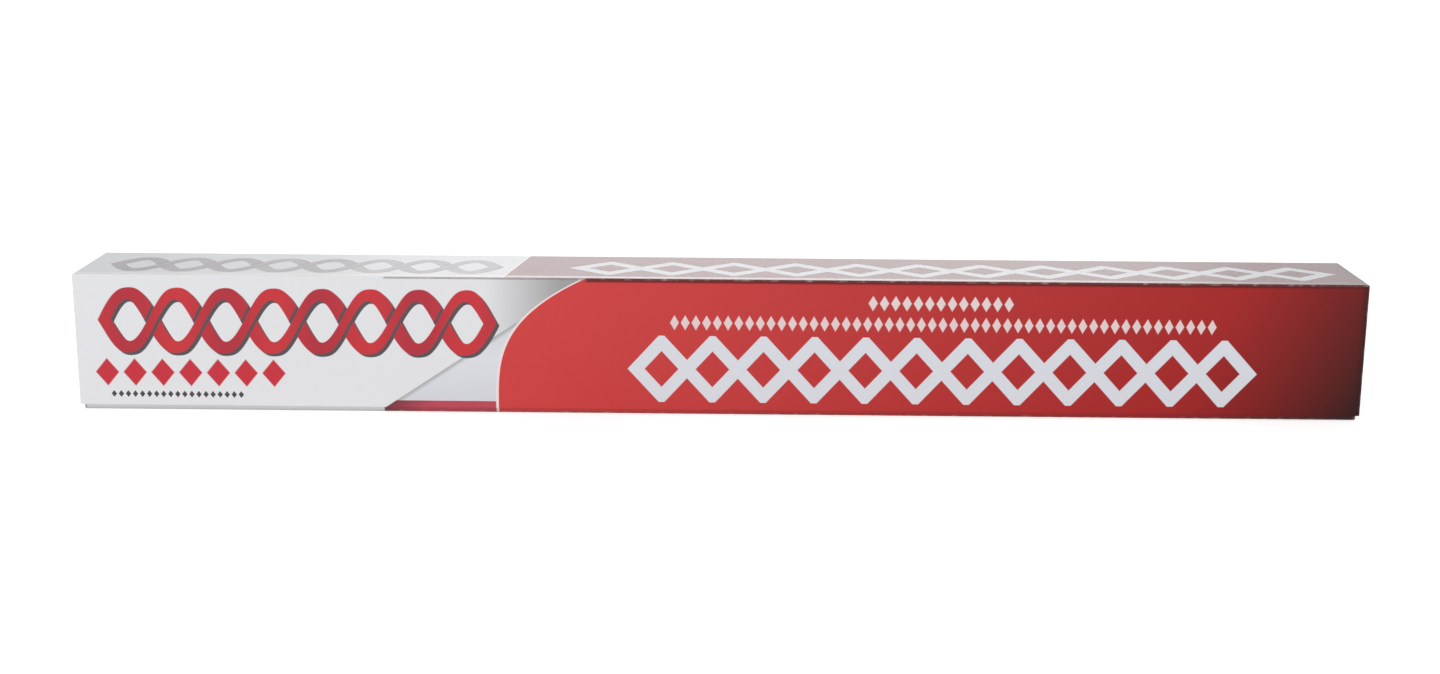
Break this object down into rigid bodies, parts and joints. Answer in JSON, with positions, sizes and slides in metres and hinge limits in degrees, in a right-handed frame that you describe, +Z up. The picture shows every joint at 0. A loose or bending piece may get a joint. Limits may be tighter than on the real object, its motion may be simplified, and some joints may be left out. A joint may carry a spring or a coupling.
{
  "type": "boxed aluminium foil roll",
  "caption": "Long narrow paperboard carton with a hinged lid flap and a toothed tear-off strip, holding a roll of aluminium foil on a paperboard core.",
  "frame": {"origin": "middle of the carton's box at the height of the surface that it stands on", "axes": "+X along the roll, to the right as seen from the front; the front flap faces -Y; +Z up"},
  "size_m": [0.47, 0.04, 0.051],
  "materials": {
    "printed_board": "gloss varnished print on white board",
    "cutter_steel": "bright cold rolled strip",
    "foil": "bright rolled foil",
    "core_board": "plain kraft"
  },
  "bodies": {
    "carton": {"carton_tray": "printed_board", "foil_roll": "foil", "core_tube": "core_board"},
    "lid": {"carton_lid": "printed_board", "cutter_strip": "cutter_steel"}
  },
  "joints": [
    {"name": "lid_fold", "type": "hinge", "parent": "carton", "child": "lid", "pos_m": [0, 0.02, 0.0505], "axis": [-1, 0, 0], "range_deg": [0, 180]}
  ]
}
